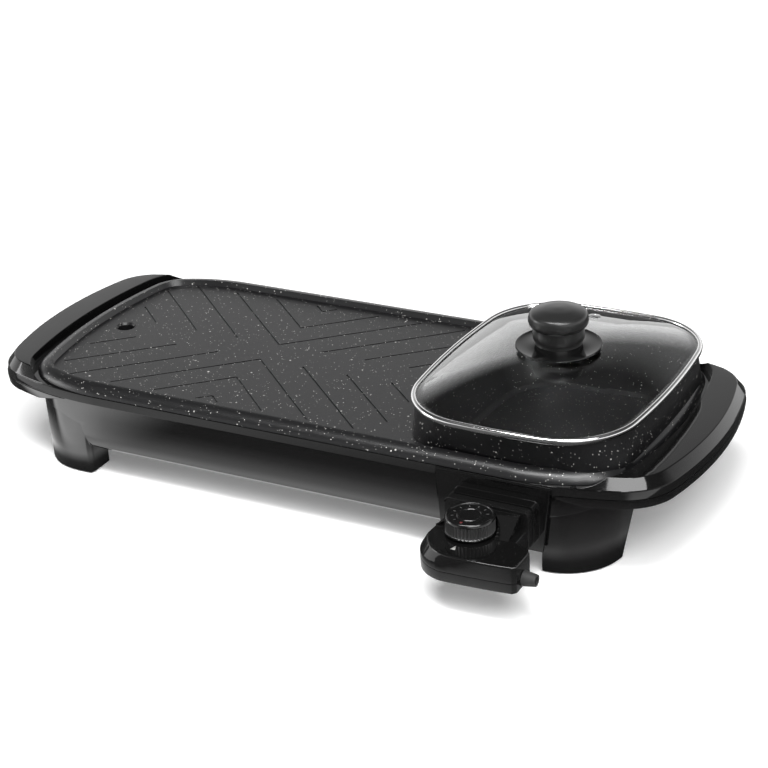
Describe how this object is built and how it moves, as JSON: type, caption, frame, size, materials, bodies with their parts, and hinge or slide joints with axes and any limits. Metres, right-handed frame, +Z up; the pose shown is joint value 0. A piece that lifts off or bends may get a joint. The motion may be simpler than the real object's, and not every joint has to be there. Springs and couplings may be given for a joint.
{
  "type": "electric grill with hot pot",
  "caption": "Long table-top electric grill with a lidded pot at one end, bowed end handles, corner legs, a sliding grease tray and a plug-in dial controller.",
  "frame": {"origin": "on the table, under the middle of the whole object, controller included", "axes": "+X along the grill from the drain hole towards the pot, +Y from the controller to the back, +Z up"},
  "size_m": [0.674, 0.3599, 0.1756],
  "materials": {
    "stone_coating": "matt dark grey non-stick coating with fine light speckles, on cast metal",
    "gloss_black": "deep black, high gloss",
    "satin_black": "black, satin",
    "heat_plastic": "dark brown-black heat-proof moulding, matt",
    "clear_glass": "clear, slightly grey, polished",
    "polished_steel": "polished stainless steel",
    "sheet_steel": "plain bright sheet",
    "element_sheath": "dark heat-stained steel sheath",
    "ceramic": "white ceramic",
    "contact_brass": "bare brass",
    "tray_metal": "plain, satin",
    "foot_rubber": "black, matt",
    "zinc": "zinc-plated steel screws"
  },
  "bodies": {
    "base": {"grill_pan": "stone_coating", "top_frame": "gloss_black", "base_shell": "gloss_black", "bottom_plate": "satin_black", "heating_element": "element_sheath", "element_clamps": "sheet_steel", "grill_reflector": "sheet_steel", "pot_reflector": "sheet_steel", "terminal_plate": "sheet_steel", "pin_insulators": "ceramic", "socket_housing": "gloss_black", "case_screws": "zinc", "pan_screws": "zinc", "foot_pad_1": "foot_rubber", "foot_pad_2": "foot_rubber", "foot_pad_3": "foot_rubber", "foot_pad_4": "foot_rubber"},
    "lid": {"lid_glass": "clear_glass", "lid_rim": "polished_steel", "knob_flange": "satin_black", "lid_knob": "satin_black", "knob_washer": "foot_rubber", "knob_screw": "zinc", "vent_eyelet": "polished_steel"},
    "controller": {"controller_lower_shell": "gloss_black", "controller_upper_shell": "gloss_black", "controller_flange": "satin_black", "nose_block": "heat_plastic", "contact_sockets": "contact_brass", "sensor_probe": "polished_steel", "thermostat_block": "heat_plastic", "cord_gland": "foot_rubber", "controller_screws": "zinc"},
    "dial": {"dial": "gloss_black", "dial_shaft": "contact_brass"},
    "tray": {"grease_tray": "tray_metal"}
  },
  "joints": [
    {"name": "lid_lift", "type": "slide", "parent": "base", "child": "lid", "axis": [0, 0, 1], "range_m": [0, 0.12]},
    {"name": "controller_pull", "type": "slide", "parent": "base", "child": "controller", "axis": [0, -1, 0], "range_m": [0, 0.09]},
    {"name": "dial_turn", "type": "hinge", "parent": "controller", "child": "dial", "pos_m": [0.191, -0.13955, 0.06], "axis": [0, 0, 1], "range_deg": [0, 270]},
    {"name": "tray_slide", "type": "slide", "parent": "base", "child": "tray", "axis": [-1, 0, 0], "range_m": [0, 0.075]}
  ]
}
